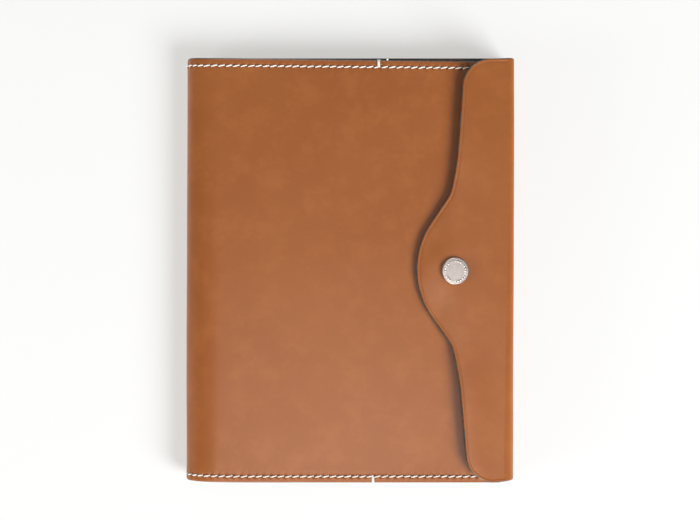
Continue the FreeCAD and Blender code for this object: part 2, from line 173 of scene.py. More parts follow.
# Flap outline, from the tip of its tongue
TONGUE_DEPTH = 50.6
TONGUE_OFFSET = 0.25
TONGUE_TILT = math.radians(0.5)
TONGUE = (42.4, math.radians(34.4))
SHOULDER_RUN = 15.8
SHOULDER = (13.3, math.radians(20.8))
WAIST = (156.0, math.radians(9.2))
FLAP_CORNER = 15.0
FLAP_EDGE_STEP = 0.8
FLAP_ROW_STEP = 4.0
FLAP_GAPS = (2.6, 2.2, 1.9, 1.6, 1.3, 1.05)

# Name, place, size, power, colour, and whether it only shows in reflections or only lights
WHITE = (1.0, 1.0, 1.0)
LIGHTS = (("key", (1.40, -1.02, 1.35), 1.3, 78.0, (1.0, 1.01, 1.055), False),
          ("softbox", (0.0, -0.42, 1.2), 0.6, 4.5, WHITE, True),
          ("left_fill", (-1.15, -0.3, 0.26), 0.7, 12.5, WHITE, False),
          ("head_sheen", (-0.2, 1.0, 0.7), 0.6, 4.5, WHITE, True),
          ("tail_sheen", (-0.25, -1.2, 0.6), 0.35, 6.5, WHITE, True))
FLOOR_REACH = 4.0
CAMERA_PLACE = (0.0004, 0.0053, 0.720)
CAMERA_LENS = 69.55


# Helpers

def smooth(low, high, value):
    """0 below low, 1 above high, eased between them."""
    t = min(1.0, max(0.0, (value - low) / (high - low)))
    return t * t * (3 - 2 * t)


def bell(value, width):
    """1 at 0, falling away over a width."""
    return math.exp(-(value / width) ** 2)


def advance(x, y, heading, length, radius):
    """The point and heading at the end of a stretch of a path. A negative radius turns right."""
    if radius == 0:
        return x + math.cos(heading) * length, y + math.sin(heading) * length, heading
    turned = heading + length / radius
    return (x + radius * (math.sin(turned) - math.sin(heading)),
            y - radius * (math.cos(turned) - math.cos(heading)), turned)


def stretch_starts():
    """Each stretch's first station, place, heading and radius."""
    starts = []
    x, z, heading, station = FRONT_EDGE_X, FRONT_TOP, math.pi, 0.0
    for length, radius in ROUTE:
        starts.append((station, x, z, heading, radius))
        x, z, heading = advance(x, z, heading, length, radius)
        station += length
    return starts


STARTS = stretch_starts()


def spine_softening(station):
    """How far inside the drawn half circle the spine runs: it is half an ellipse that starts earlier."""
    near, long = SPINE_EARLY, SPINE_RADIUS + SPINE_EARLY
    from_bend = max(FRONT_RUN - station, station - BACK_START)
    if from_bend >= near:
        return 0.0
    if from_bend >= 0:
        return SPINE_RADIUS * (1 - math.sqrt(1 - ((near - from_bend) / long) ** 2))
    turn = (station - FRONT_RUN) / SPINE_RADIUS
    a = (math.sin(turn) / long) ** 2 + (math.cos(turn) / SPINE_RADIUS) ** 2
    b = near * math.sin(turn) / long ** 2
    c = (near / long) ** 2 - 1
    return SPINE_RADIUS - (math.sqrt(b * b - a * c) - b) / a


def fold_tightening(station, y):
    """How far outside the drawn upper fold the leather runs. It is pressed tighter, most at the head."""
    turn = (station - FLAP_START) / FOLD_RADIUS + math.pi / 2
    turn = min(turn, math.pi / 2 - turn)
    if turn <= 0:
        return 0.0
    radius = TAIL_CREASE_RADIUS + (HEAD_CREASE_RADIUS - TAIL_CREASE_RADIUS) * smooth(-HALF_LENGTH, 40.0, y)
    near = FOLD_RADIUS - radius
    if math.tan(turn) < near / FOLD_RADIUS:
        return FOLD_RADIUS / math.cos(turn) - FOLD_RADIUS
    along = near * (math.cos(turn) + math.sin(turn))
    return along + math.sqrt(along ** 2 + radius ** 2 - 2 * near ** 2) - FOLD_RADIUS


def fold(station, y, depth):
    """A pattern point in its place on the folded cover, in metres. The spine bends wider than it is drawn and
    the upper fold tighter. Both the spine and the fore edge swell and lean a little."""
    depth += spine_softening(station) - fold_tightening(station, y)
    swelling = SPINE_BULGE - SPINE_LEAN * smooth(-60.0, HALF_LENGTH, y)
    depth -= swelling * bell(station - FRONT_RUN - SPINE_RUN / 2, 8.0)
    depth -= FORE_BULGE * bell(station - GUSSET_CUT, 6.0)
    depth += FORE_LEAN * (1 - y / HALF_LENGTH) * bell(station - FLAP_START + FOLD_RUN, 7.0)
    index = len(STARTS) - 1
    while index > 0 and station < STARTS[index][0]:
        index -= 1
    begin, x, z, heading, radius = STARTS[index]
    x, z, heading = advance(x, z, heading, station - begin, radius)
    x -= math.sin(heading) * depth
    z += math.cos(heading) * depth
    return Vector((x, y, z)) * MM


def underneath(station):
    """1 on the flat of the back, which lies on the table, and 0 elsewhere."""
    return smooth(BACK_START - 9.0, BACK_START, station) * smooth(FOLD_START + 6.0, FOLD_START, station)


def as_cut(station, y):
    """The tail edge draws in where the sheet bends round the spine."""
    before = smooth(FRONT_RUN - 20.0, FRONT_RUN + 6.0, station)
    after = smooth(BACK_START + 20.0, BACK_START - 6.0, station)
    return y + TAIL_LIFT * (before * after) * smooth(60.0, HALF_LENGTH, -y)


def trimmed(station, y):
    """The front's head edge is also cut a little short towards the fore edge. Its row is sewn a little
    further in, and the spine's head end stands out a little."""
    short = HEAD_TRIM * max(0.0, 1 - station / HEAD_TRIM_RUN) * smooth(40.0, HALF_LENGTH, y)
    ahead = smooth(BACK_START + 5.0, BACK_START - 8.0, station)
    standing = SPINE_HEAD_FLARE * smooth(FRONT_RUN - 5.0, FRONT_RUN + 14.0, station)
    standing *= smooth(60.0, HALF_LENGTH, y)
    further_in = HEAD_ROW_DROP + HEAD_ROW_MORE * min(1.0, station / FRONT_RUN)
    further_in *= smooth(85.0, ROW_Y - 1.2, y) * smooth(HALF_LENGTH, ROW_Y + 0.8, y)
    return as_cut(station, y) - short + (standing - further_in) * ahead


def fore_cut(station, y):
    """The gusset and the flap are a little shorter than the cover at both ends, most at the tail fold."""
    share = smooth(70.0, HALF_LENGTH, abs(y)) * smooth(LINING_END, FOLD_START + 8.0, station)
    folded = smooth(FLAP_START + 9.0, FLAP_START - 7.0, station)
    if y > 0:
        return y - (FLAP_HEAD_TRIM - FOLD_HEAD_EASE * folded) * share
    return y + (FLAP_TAIL_TRIM + FOLD_TAIL_TRIM * folded) * share


def front_station(x):
    """The station of a place on the front cover."""
    return FRONT_EDGE_X - x


def back_station(x):
    """The station of a place on the back cover."""
    return LINING_END - (LINING_EDGE_X - x)


BACK_SLEEVE_MOUTH = back_station(BACK_TACKS[0][0])


def jitter(index, channel):
    """A fixed unevenness between -1 and 1 for the stitch with this number."""
    value = math.sin(index * 12.9898 + channel * 78.233) * 43758.5453
    return 2 * (value - math.floor(value)) - 1


# Point spacing on the sheets

STRAIGHT_STEP = 0.48
BEND_STEP = 0.35
GAPS = (1.2, 1.8, 2.3, 2.7, 3.0, 3.3, 3.6, 3.9, 4.3, 4.8, 5.4, 6.2, 7.4, 9.0, 11.5, 15.0, 20.0, 26.0, 33.0,
        41.0, 50.0, 60.0, 70.0, 80.0, 90.0, 100.0)
CUTS = (UPPER_CUT, LOWER_CUT, BACK_CUT, GUSSET_CUT)


def grid_stations():
    """Every station that carries points, with how thinly it may be used away from the edges."""
    marks = []
    station = 0.0
    for length, radius in ROUTE:
        step = BEND_STEP if radius else STRAIGHT_STEP
        count = 8 * max(1, round(length / step / 8))
        for index in range(count):
            level = 3 if radius else next(n for n in (3, 2, 1, 0) if index % 2 ** n == 0)
            marks.append((station + length * index / count, level))
        station += length
    marks = [mark for mark in marks if min(abs(mark[0] - cut) for cut in CUTS) > BEND_STEP / 2]
    return sorted(marks + [(cut, 3) for cut in CUTS])


MARKS = grid_stations()


def marks_between(begin, end):
    """The stations strictly between two others."""
    near = BEND_STEP / 2
    return [mark for mark in MARKS if begin + near < mark[0] < end - near]


def needed_level(gap):
    """How coarse the stations may be at this distance from the edge."""
    return 0 if gap < 6 else 1 if gap < 10 else 2 if gap < 16 else 3


def side_ys(widest):
    """The y values between head and tail, from tail to head, that clear the rim rings."""
    gaps = [gap for gap in GAPS if gap > widest + 0.3]
    return [gap - HALF_LENGTH for gap in gaps] + [0.0] + [HALF_LENGTH - gap for gap in reversed(gaps)]


# Outlines: points round the pattern, each with the way in from a cut edge, or none at a joined one

def arc_points(centre, radius, first, last, count):
    """Points along an arc in the pattern, with the way in to its centre."""
    points = []
    for index in range(count + 1):
        angle = first + (last - first) * index / count
        out = (math.cos(angle), math.sin(angle))
        points.append((centre[0] + radius * out[0], centre[1] + radius * out[1], -out[0], -out[1]))
    return points


def strip_outline(begin, end, widest, free_begin=False, free_end=False, slant=0.0):
    """A strip from tail to head. slant moves its end by that much at the head and back at the tail."""
    corner = CORNER_RADIUS if free_begin else 0.0
    end_corner = MOUTH_CORNER_RADIUS if free_end else 0.0
    stations = [mark[0] for mark in marks_between(begin + corner, end - end_corner)]
    outline = []
    for side in (-1, 1):
        row = [(station, side * HALF_LENGTH, 0.0, -side) for station in stations]
        begin_points, end_points = ([(station, side * HALF_LENGTH, 0.0, -side)] for station in (begin, end))
        if free_begin:
            centre = (begin + corner, side * (HALF_LENGTH - corner))
            begin_points = arc_points(centre, corner, math.pi, math.pi - side * math.pi / 2, 10)
        if free_end:
            centre = (end - end_corner, side * (HALF_LENGTH - end_corner))
            end_points = arc_points(centre, end_corner, side * math.pi / 2, 0.0, 6)
        whole = begin_points + row + end_points
        ys = side_ys(widest)
        if side < 0:
            outline += whole + [(end, y, -1.0 if free_end else 0.0, 0.0) for y in ys]
        else:
            outline += whole[::-1] + [(begin, y, 1.0 if free_begin else 0.0, 0.0) for y in ys[::-1]]
    if slant:
        middle = (begin + end) / 2
        outline = [(x + (slant * y / HALF_LENGTH if x > middle else 0.0), y, i, j) for x, y, i, j in outline]
    return outline


def strip_points(begin, end, widest, free_begin=False, free_end=False, coarse=False):
    """Points inside a strip, dense beside the stitching."""
    points = []
    low = begin + (widest + 0.3 if free_begin else 0.0)
    high = end - (widest + 0.9 if free_end else 0.0)
    for y in side_ys(widest):
        gap = HALF_LENGTH - abs(y)
        level = 3 if coarse else needed_level(gap)
        for station, thin in marks_between(low, high):
            near_row = min(abs(station - row) for row in EDGE_ROWS) < 1.5
            if thin < level and not near_row:
                continue
            if free_begin and station < begin + CORNER_RADIUS and gap < CORNER_RADIUS:
                across = math.hypot(begin + CORNER_RADIUS - station, CORNER_RADIUS - gap)
                if across > CORNER_RADIUS - widest - 0.3:
                    continue
            points.append((station, y))
    return points


def flap_side(side):
    """The flap's cut edge from the tip of its tongue to its corner, on one side, as pattern points."""
    turn = -side
    curves = [(TONGUE[0] * TONGUE[1], turn * TONGUE[0]), (SHOULDER_RUN, 0),
              (SHOULDER[0] * SHOULDER[1], -turn * SHOULDER[0]), (WAIST[0] * WAIST[1], -turn * WAIST[0])]
    x, y, heading = HALF_WIDTH - TONGUE_DEPTH, TONGUE_OFFSET, side * math.pi / 2 + TONGUE_TILT
    ends = []
    for length, radius in curves:
        ends.append((x, y, heading, length, radius))
        x, y, heading = advance(x, y, heading, length, radius)
    rest = HALF_LENGTH - abs(y) - FLAP_CORNER * (1 - math.cos(heading))
    ends.append((x, y, heading, rest / math.sin(abs(heading)), 0))
    x, y, heading = advance(*ends[-1])
    ends.append((x, y, heading, abs(heading) * FLAP_CORNER, turn * FLAP_CORNER))
    points = []
    for x, y, heading, length, radius in ends:
        count = max(2, round(length / FLAP_EDGE_STEP))
        for index in range(count):
            px, py, bearing = advance(x, y, heading, length * index / count, radius)
            across = bearing + turn * math.pi / 2
            points.append((FLAP_START + FOLD_X - px, py, -math.cos(across), math.sin(across)))
    return points, advance(*ends[-1])


def flap_outline(widest):
    """The half gusset and the flap: along the tail, round the tongue, along the head and down the cut."""
    outline = []
    for side in (-1, 1):
        points, corner = flap_side(side)
        corner_station = FLAP_START + FOLD_X - corner[0]
        stations = [mark[0] for mark in marks_between(GUSSET_CUT, corner_station)]
        stations = [GUSSET_CUT] + stations + [corner_station]
        whole = [(station, side * HALF_LENGTH, 0.0, -side) for station in stations] + points[::-1]
        outline += whole[:-1] if side < 0 else whole[::-1]
    return outline + [(GUSSET_CUT, y, 0.0, 0.0) for y in reversed(side_ys(widest))]


def flap_points(widest):
    """Points inside the half gusset and the flap, clear of its shaped edge."""
    edge = flap_side(1)[0] + flap_side(-1)[0]
    stations = [mark[0] for mark in marks_between(GUSSET_CUT, FLAP_START + TONGUE_DEPTH) if mark[1] == 3]
    rows = int(HALF_LENGTH / FLAP_ROW_STEP)
    points = []
    for index in range(-rows, rows + 1):
        y = index * FLAP_ROW_STEP
        reach = max([0.0] + [point[0] for point in edge if abs(point[1] - y) < 1.2])
        for station in stations:
            if station > (reach - widest if reach else FLAP_START - 1.0):
                continue
            gaps = [math.hypot(point[0] - station, point[1] - y) for point in edge]
            if station <= FLAP_START or min(gaps) >= widest + 1.0:
                points.append((station, y))
    return points


# Sheets

def rim_rings(thickness, rim, gaps):
    """The rings from the outer face over the cut edge to the inner face, as (inset, depth)."""
    rings = [(gap, 0.0) for gap in gaps]
    turns = [math.pi / 2 * step / RIM_STEPS for step in range(RIM_STEPS + 1)]
    curve = [(rim * (1 - math.sin(turn)), rim * (1 - math.cos(turn))) for turn in turns]
    return rings + curve + [(inset, thickness - depth) for inset, depth in reversed(curve)]


def filled(loop, points):
    """Triangles that fill a loop of pattern points and use the points inside it."""
    flat = [Vector(point) for point in loop + points]
    result = delaunay_2d_cdt(flat, [], [list(range(len(loop)))], 1, 1e-6)
    source = [sources[0] if sources else None for sources in result[3]]
    triangles = []
    for face in result[2]:
        corners = [source[index] for index in face]
        if None not in corners:
            triangles.append(corners)
    return triangles


def plain(station, y, inset=None):
    """The relief of a plain face."""
    return 0.0


def make_sheet(name, outline, near, thickness, outer_points, inner_points, materials,
               rim=LEATHER_RIM, gaps=(), relief=plain, inner_relief=plain, cut=as_cut, bare_tail=False):
    """A closed sheet of leather, folded onto the cover. near is its outer face's depth. Its materials are the
    outer face's, the cut edge's and the inner face's. bare_tail narrows the painted band along the tail."""
    rings = rim_rings(thickness, rim, gaps)
    places, pattern, faces, slots = [], [], [], []

    def add(station, y, depth, inset=None):
        share = depth / thickness
        sunk = relief(station, y, inset)
        if share >= 1.0:
            sunk = inner_relief(station, y)
        elif share > 0.0:
            sunk = sunk * (1 - share) + inner_relief(station, y) * share
        places.append(fold(station, cut(station, y), near + depth + sunk))
        pattern.append((station * MM, y * MM))
        return len(places) - 1

    rows, loops = [], []
    for inset, depth in rings:
        loop = [(s + i * inset, y + j * inset) for s, y, i, j in outline]
        loops.append(loop)
        rows.append([add(s, y, depth, inset if (i or j) else None)
                     for (s, y), (_, _, i, j) in zip(loop, outline)])
    count = len(outline)
    first_rim = len(gaps)
    for ring in range(len(rings) - 1):
        upper, lower = rows[ring], rows[ring + 1]
        for index in range(count):
            after = (index + 1) % count
            faces.append((upper[index], upper[after], lower[after], lower[index]))
            free = any(outline[index][2:]) and any(outline[after][2:])
            start = first_rim + (2 if bare_tail and outline[index][1] < 0 else 1)
            stop = len(rings) - 1 - (start - first_rim)
            slots.append(1 if free and start <= ring < stop else 0 if ring < len(rings) // 2 else 2)
    for points, row, loop, depth, slot, flip in ((outer_points, rows[0], loops[0], 0.0, 0, True),
                                                 (inner_points, rows[-1], loops[-1], thickness, 2, False)):
        inside = [add(s, y, depth) for s, y in points]
        index_of = row + inside
        for triangle in filled(loop, points):
            corners = [index_of[corner] for corner in triangle]
            faces.append(tuple(reversed(corners)) if flip else tuple(corners))
            slots.append(slot)
    return finish_mesh(name, places, faces, materials, slots, pattern)


def add_object(name, data):
    """A new object in the scene."""
    made = bpy.data.objects.new(name, data)
    bpy.context.scene.collection.objects.link(made)
    return made


def finish_mesh(name, places, faces, materials, slots=None, pattern=None, sharp=50.0):
    """A mesh object with joined points, outward faces, smooth shading and its pattern as UVs."""
    mesh = bpy.data.meshes.new(name)
    mesh.from_pydata(places, [], faces)
    for face, slot in zip(mesh.polygons, slots or [0] * len(faces)):
        face.material_index = slot
        face.use_smooth = True
    if pattern:
        layer = mesh.uv_layers.new(name="pattern")
        for loop in mesh.loops:
            layer.data[loop.index].uv = pattern[loop.vertex_index]
    made = bmesh.new()
    made.from_mesh(mesh)
    bmesh.ops.remove_doubles(made, verts=made.verts, dist=1e-7)
    bmesh.ops.dissolve_degenerate(made, edges=made.edges, dist=1e-8)
    bmesh.ops.recalc_face_normals(made, faces=made.faces)
    made.to_mesh(mesh)
    made.free()
    mesh.set_sharp_from_angle(angle=math.radians(sharp))
    for made_material in materials:
        mesh.materials.append(made_material)
    return add_object(name, mesh)


# Thread and metal

def add_tube(path, side, radius, places, faces, twist=0.0):
    """One length of two-ply thread along a path. side is a direction across it to start the rings from."""
    sections = THREAD_SECTIONS
    base = len(places)
    across = side.normalized()
    for index, point in enumerate(path):
        ahead = path[min(index + 1, len(path) - 1)] - path[max(index - 1, 0)]
        ahead.normalize()
        across = (across - ahead * across.dot(ahead)).normalized()
        up = ahead.cross(across)
        end = THREAD_TIP if index in (0, len(path) - 1) else 1.0
        for turn in range(sections):
            angle = 2 * math.pi * turn / sections
            wide = radius * end * (1 + THREAD_LOBES * math.cos(2 * (angle - twist * index)))
            places.append(point + (across * math.cos(angle) + up * math.sin(angle)) * wide)
    for index in range(len(path) - 1):
        for turn in range(sections):
            a = base + index * sections + turn
            b = base + index * sections + (turn + 1) % sections
            faces.append((a, b, b + sections, a + sections))
    faces.append(tuple(base + turn for turn in reversed(range(sections))))
    last = base + (len(path) - 1) * sections
    faces.append(tuple(last + turn for turn in range(sections)))


# The place along half a stitch, from -1 to 1, and the height over the face
STITCH_SHAPE = ((-1.0, -0.95), (-0.95, -0.4), (-0.86, 0.02), (-0.70, 0.24), (-0.42, 0.33), (-0.14, 0.36),
                (0.14, 0.36), (0.42, 0.33), (0.70, 0.24), (0.86, 0.02), (0.95, -0.4), (1.0, -0.95))


def add_stitch(station, y, depth, lift, along, rise, number, cut, places, faces):
    """One slanted stitch between two holes, lying on a face at a depth. along is (1, 0) in a head or tail row
    and (0, 1) in a fore-edge row. lift is outwards from the cover."""
    half = STITCH_LENGTH / 2 * (1 + 0.03 * jitter(number, 1))
    rise = rise * (1 + 0.15 * jitter(number, 2))
    path = []
    for t, height in STITCH_SHAPE:
        shift = half * t + 0.06 * jitter(number, 3)
        climb = rise * t + 0.04 * jitter(number, 4)
        s = station + along[0] * shift + along[1] * climb
        across = y - along[0] * climb + along[1] * shift
        out = (height + lift) if height > 0 else height
        path.append(fold(s, cut(s, across), depth - out if depth < LEATHER else depth + out))
    side = fold(station + along[1], y + along[0], depth) - fold(station, y, depth)
    add_tube(path, side, THREAD_RADIUS * MM, places, faces, THREAD_TWIST)


def inner_depth(station, side):
    """The depth of the inside face that a row's stitches lie on."""
    front_mouth = front_station(FRONT_TACKS[0 if side > 0 else 1][0])
    in_sleeve = station < front_mouth + 1 or station > BACK_SLEEVE_MOUTH - 1
    return INSIDE + SLEEVE if in_sleeve else INSIDE


def row_thread(name, side, begin, end):
    """A head or tail row between two stations, on the outer face and on the inside."""
    places, faces = [], []
    number = 0
    station = FIRST_STITCH
    while station < LINING_END - ROW_INSET - PITCH / 4:
        number += 1
        if begin <= station < end:
            y = side * ROW_Y
            lift = -BACK_SUNK * underneath(station)
            add_stitch(station, y, 0.0, lift, (1, 0), STITCH_RISE, number, trimmed, places, faces)
            add_stitch(station, y, inner_depth(station, side), -INSIDE_SUNK, (1, 0), INSIDE_RISE,
                       number + 500, as_cut, places, faces)
        station += PITCH
    return finish_mesh(name, places, faces, [THREAD])


def edge_thread(name, station, lift):
    """A fore-edge row, on the outer face and on the inside."""
    places, faces = [], []
    count = round(2 * ROW_Y / PITCH)
    for number in range(count):
        y = -ROW_Y + (number + 0.5) * 2 * ROW_Y / count
        for depth, raised, rise in ((0.0, lift, STITCH_RISE), (INSIDE + SLEEVE, -INSIDE_SUNK, INSIDE_RISE)):
            add_stitch(station, y, depth, raised, (0, 1), rise, number + 900, as_cut, places, faces)
    return finish_mesh(name, places, faces, [THREAD])


def tack_thread(name, tacks, station_at, depth_out, cut, thread_end):
    """Thread wrapped three times over the cover's edge at each sleeve mouth. thread_end adds a sealed end
    beside the head's."""
    places, faces = [], []
    for x, side in tacks:
        station = station_at(x)
        inner = INSIDE + SLEEVE
        edge = HALF_LENGTH + TACK_PROUD
        for strand in (-1, 0, 1):
            across = strand * TACK_SPACING
            shape = ((ROW_Y, 0.9), (ROW_Y + 0.25, 0.0), (ROW_Y + 0.8, -0.22), (HALF_LENGTH - 1.0, -0.20),
                     (edge - 0.55, 0.02), (edge - 0.12, 0.55), (edge, 1.3), (edge, inner - 0.9),
                     (edge - 0.25, inner - 0.1), (edge - 0.9, inner + 0.2), (ROW_Y + 0.8, inner + 0.22),
                     (ROW_Y + 0.25, inner), (ROW_Y, inner - 0.9))
            path = []
            for y, depth in shape:
                narrow = 1.0 if y > ROW_Y + 0.5 else 0.6
                sunk = depth_out if depth < 1.0 else 0.0
                s = station + across * narrow
                path.append(fold(s, cut(s, side * y), depth + sunk))
            add_tube(path, Vector((1, 0, 0)), TACK_RADIUS * MM, places, faces, THREAD_TWIST)
    if thread_end:
        station = station_at(tacks[0][0] + THREAD_END_GAP)
        path = [fold(station + 0.2 * out, cut(station, HALF_LENGTH + out), 0.5)
                for out in (-0.3, 0.0, 0.3, 0.55, 0.75)]
        add_tube(path, Vector((1, 0, 0)), THREAD_END_RADIUS * MM, places, faces)
    return finish_mesh(name, places, faces, [THREAD])


def lathe(name, profile, made_material, segments, ripple=None):
    """A turned piece on the press stud's axis. The profile is (radius, z) in millimetres, from axis to axis.
    ripple adds to z at a radius and angle."""
    places, faces, rows = [], [], []
    for radius, z in profile:
        base = len(places)
        for turn in range(segments if radius else 1):
            angle = 2 * math.pi * turn / segments
            lift = ripple(radius, angle, z) if ripple else 0.0
            x = SNAP_X + radius * math.cos(angle)
            y = SNAP_Y + radius * math.sin(angle)
            places.append(Vector((x, y, z + lift)) * MM)
        rows.append([base + turn if radius else base for turn in range(segments)])
    for low, high in zip(rows, rows[1:]):
        for turn in range(segments):
            after = (turn + 1) % segments
            corners = []
            for corner in (low[turn], low[after], high[after], high[turn]):
                if corner not in corners:
                    corners.append(corner)
            if len(corners) > 2:
                faces.append(tuple(corners))
    return finish_mesh(name, places, faces, [made_material], sharp=35.0)


# Materials

def srgb(red, green, blue):
    """A linear colour from sRGB values of 0 to 255."""
    def linear(value):
        share = value / 255
        return share / 12.92 if share <= 0.04045 else ((share + 0.055) / 1.055) ** 2.4
    return (linear(red), linear(green), linear(blue), 1.0)


class Shader:
    """A node material under construction."""

    def __init__(self, name):
        self.material = bpy.data.materials.new(name)
        self.material.use_nodes = True
        self.tree = self.material.node_tree
        self.main = self.tree.nodes["Principled BSDF"]

    def add(self, kind, inputs=None, **settings):
        """A node. An input is a value, or another node's output socket."""
        made = self.tree.nodes.new(kind)
        for key, value in settings.items():
            setattr(made, key, value)
        for key, value in (inputs or {}).items():
            if isinstance(value, bpy.types.NodeSocket):
                self.tree.links.new(value, made.inputs[key])
            else:
                made.inputs[key].default_value = value
        return made

    def place(self):
        return self.add("ShaderNodeTexCoord").outputs["Object"]

    def math(self, operation, first, second=0.0):
        return self.add("ShaderNodeMath", {0: first, 1: second}, operation=operation).outputs[0]

    def times(self, first, second):
        return self.math("MULTIPLY", first, second)

    def mix(self, share, first, second):
        """A colour between two."""
        return self.add("ShaderNodeMix", {0: share, 6: first, 7: second}, data_type="RGBA").outputs[2]

    def noise(self, vector, scale, detail, roughness):
        inputs = {"Vector": vector, "Scale": scale, "Detail": detail, "Roughness": roughness}
        return self.add("ShaderNodeTexNoise", inputs).outputs["Fac"]

    def ramp(self, value, low, high):
        """0 at low, 1 at high, eased."""
        made = self.add("ShaderNodeMapRange", {"Value": value, "From Min": low, "From Max": high},
                        interpolation_type="SMOOTHSTEP")
        return made.outputs["Result"]

    def set(self, **inputs):
        """Inputs of the main shader, named with _ for a space."""
        for key, value in inputs.items():
            socket = self.main.inputs[key.replace("_", " ")]
            if isinstance(value, bpy.types.NodeSocket):
                self.tree.links.new(value, socket)
            else:
                socket.default_value = value

    def bump(self, height, strength, distance, under=None):
        """A bump from a height, over another one."""
        inputs = {"Height": height, "Strength": strength, "Distance": distance}
        if under is not None:
            inputs["Normal"] = under
        return self.add("ShaderNodeBump", inputs).outputs["Normal"]


def stitch_marks(shader, pattern):
    """1 in the needle holes and creases beside a head or tail row, by place on the pattern. Both masks paint
    shade into the leather's colour, and the holes' mask also sinks the holes in the bump.
    """
    parts = shader.add("ShaderNodeSeparateXYZ", {0: pattern})
    from_middle = shader.math("ABSOLUTE", parts.outputs[1])
    from_row = shader.math("ABSOLUTE", shader.math("SUBTRACT", from_middle, ROW_Y * MM))
    steps = shader.math("DIVIDE", shader.math("SUBTRACT", parts.outputs[0], (FIRST_STITCH - PITCH / 2) * MM),
                        PITCH * MM)
    from_hole = shader.times(shader.math("PINGPONG", steps, 0.5), PITCH * MM)
    away = shader.math("SQRT", shader.math("ADD", shader.times(from_row, from_row),
                                           shader.times(from_hole, from_hole)))
    hole_shade_and_dip = shader.math("SUBTRACT", 1.0, shader.ramp(away, 0.30 * MM, 1.15 * MM))
    crease_shade = shader.math("SUBTRACT", 1.0, shader.ramp(from_row, 0.2 * MM, 1.3 * MM))
    lined = shader.math("LESS_THAN", parts.outputs[0], (LINING_END - ROW_INSET) * MM)
    return shader.times(hole_shade_and_dip, lined), shader.times(crease_shade, lined)


def leather(name, deep, main, pale, roughness, grain, stitched=True):
    """Smooth vegetable-tanned leather: cloudy colour at three scales, pores, sunk needle holes, and painted
    shade in the needle holes and along the creases beside stitches.
    """
    shader = Shader(name)
    pattern = shader.add("ShaderNodeUVMap", uv_map="pattern").outputs[0]
    clouds = shader.noise(pattern, 14.0, 3.0, 0.55)
    mottle = shader.noise(pattern, 70.0, 4.0, 0.72)
    speck = shader.noise(pattern, 900.0, 3.0, 0.6)
    pores = shader.add("ShaderNodeTexVoronoi", {"Vector": pattern, "Scale": 1500.0}, feature="F1").outputs[0]
    creases = shader.add("ShaderNodeTexVoronoi", {"Vector": pattern, "Scale": 620.0},
                         feature="DISTANCE_TO_EDGE").outputs[0]
    colour = shader.mix(shader.ramp(clouds, 0.25, 0.75), deep, main)
    colour = shader.mix(shader.times(shader.ramp(mottle, 0.42, 0.70), 0.6), colour, pale)
    colour = shader.mix(shader.times(shader.ramp(speck, 0.55, 0.85), 0.30), colour, deep)
    if stitched:
        hole_shade_and_dip, crease_shade = stitch_marks(shader, pattern)
        # Painted shade: the creases beside the row are darkened towards the deep tone, and the needle holes
        # towards a dark brown shade colour.
        colour = shader.mix(shader.times(crease_shade, 0.22), colour, deep)
        colour = shader.mix(shader.times(hole_shade_and_dip, 0.55), colour, srgb(70, 32, 14))
    rough = shader.math("ADD", shader.times(clouds, 0.10), roughness - 0.05)
    rough = shader.math("ADD", rough, shader.times(speck, 0.06))
    normal = shader.bump(creases, grain * 0.5, 0.06 * MM)
    normal = shader.bump(pores, grain, 0.05 * MM, normal)
    normal = shader.bump(speck, grain, 0.05 * MM, normal)
    normal = shader.bump(mottle, 0.35, 0.10 * MM, normal)
    if stitched:
        sunk = shader.math("SUBTRACT", 1.0, hole_shade_and_dip)
        normal = shader.bump(sunk, 0.8, 0.35 * MM, normal)
    shader.set(Base_Color=colour, Roughness=rough, Normal=normal, Specular_IOR_Level=0.43)
    return shader.material


def edge_paint():
    """Dark burnished edge paint, slightly uneven."""
    shader = Shader("edge_paint")
    place = shader.place()
    patches = shader.noise(place, 260.0, 3.0, 0.6)
    fine = shader.noise(place, 2200.0, 2.0, 0.5)
    colour = shader.mix(shader.ramp(patches, 0.35, 0.7), srgb(70, 60, 53), srgb(90, 79, 70))
    rough = shader.math("ADD", 0.20, shader.times(fine, 0.14))
    shader.set(Base_Color=colour, Roughness=rough, Normal=shader.bump(fine, 0.3, 0.04 * MM),
               Specular_IOR_Level=0.6)
    return shader.material


def suede(name, deep, main):
    """The flesh side: short matt fibres."""
    shader = Shader(name)
    pattern = shader.add("ShaderNodeUVMap", uv_map="pattern").outputs[0]
    clouds = shader.noise(pattern, 40.0, 4.0, 0.6)
    fibre = shader.noise(pattern, 1600.0, 4.0, 0.7)
    nap = shader.noise(pattern, 320.0, 3.0, 0.6)
    blend = shader.math("ADD", shader.times(clouds, 0.5), shader.times(fibre, 0.5))
    colour = shader.mix(shader.ramp(blend, 0.32, 0.68), deep, main)
    normal = shader.bump(fibre, 0.6, 0.10 * MM)
    normal = shader.bump(nap, 0.4, 0.12 * MM, normal)
    shader.set(Base_Color=colour, Roughness=0.92, Normal=normal, Specular_IOR_Level=0.2,
               Sheen_Weight=0.25, Sheen_Roughness=0.6, Sheen_Tint=(1.0, 0.85, 0.7, 1.0))
    return shader.material


def waxed_thread():
    """Off-white waxed linen."""
    shader = Shader("waxed_thread")
    place = shader.place()
    fibre = shader.noise(place, 3800.0, 3.0, 0.65)
    soil = shader.noise(place, 180.0, 2.0, 0.5)
    colour = shader.mix(shader.ramp(fibre, 0.3, 0.7), srgb(222, 214, 200), srgb(250, 247, 240))
    soiled = shader.times(shader.ramp(soil, 0.5, 0.8), 0.25)
    colour = shader.mix(soiled, colour, srgb(215, 196, 170))
    shader.set(Base_Color=colour, Roughness=0.62, Normal=shader.bump(fibre, 0.5, 0.06 * MM),
               Specular_IOR_Level=0.4, Sheen_Weight=0.15)
    return shader.material


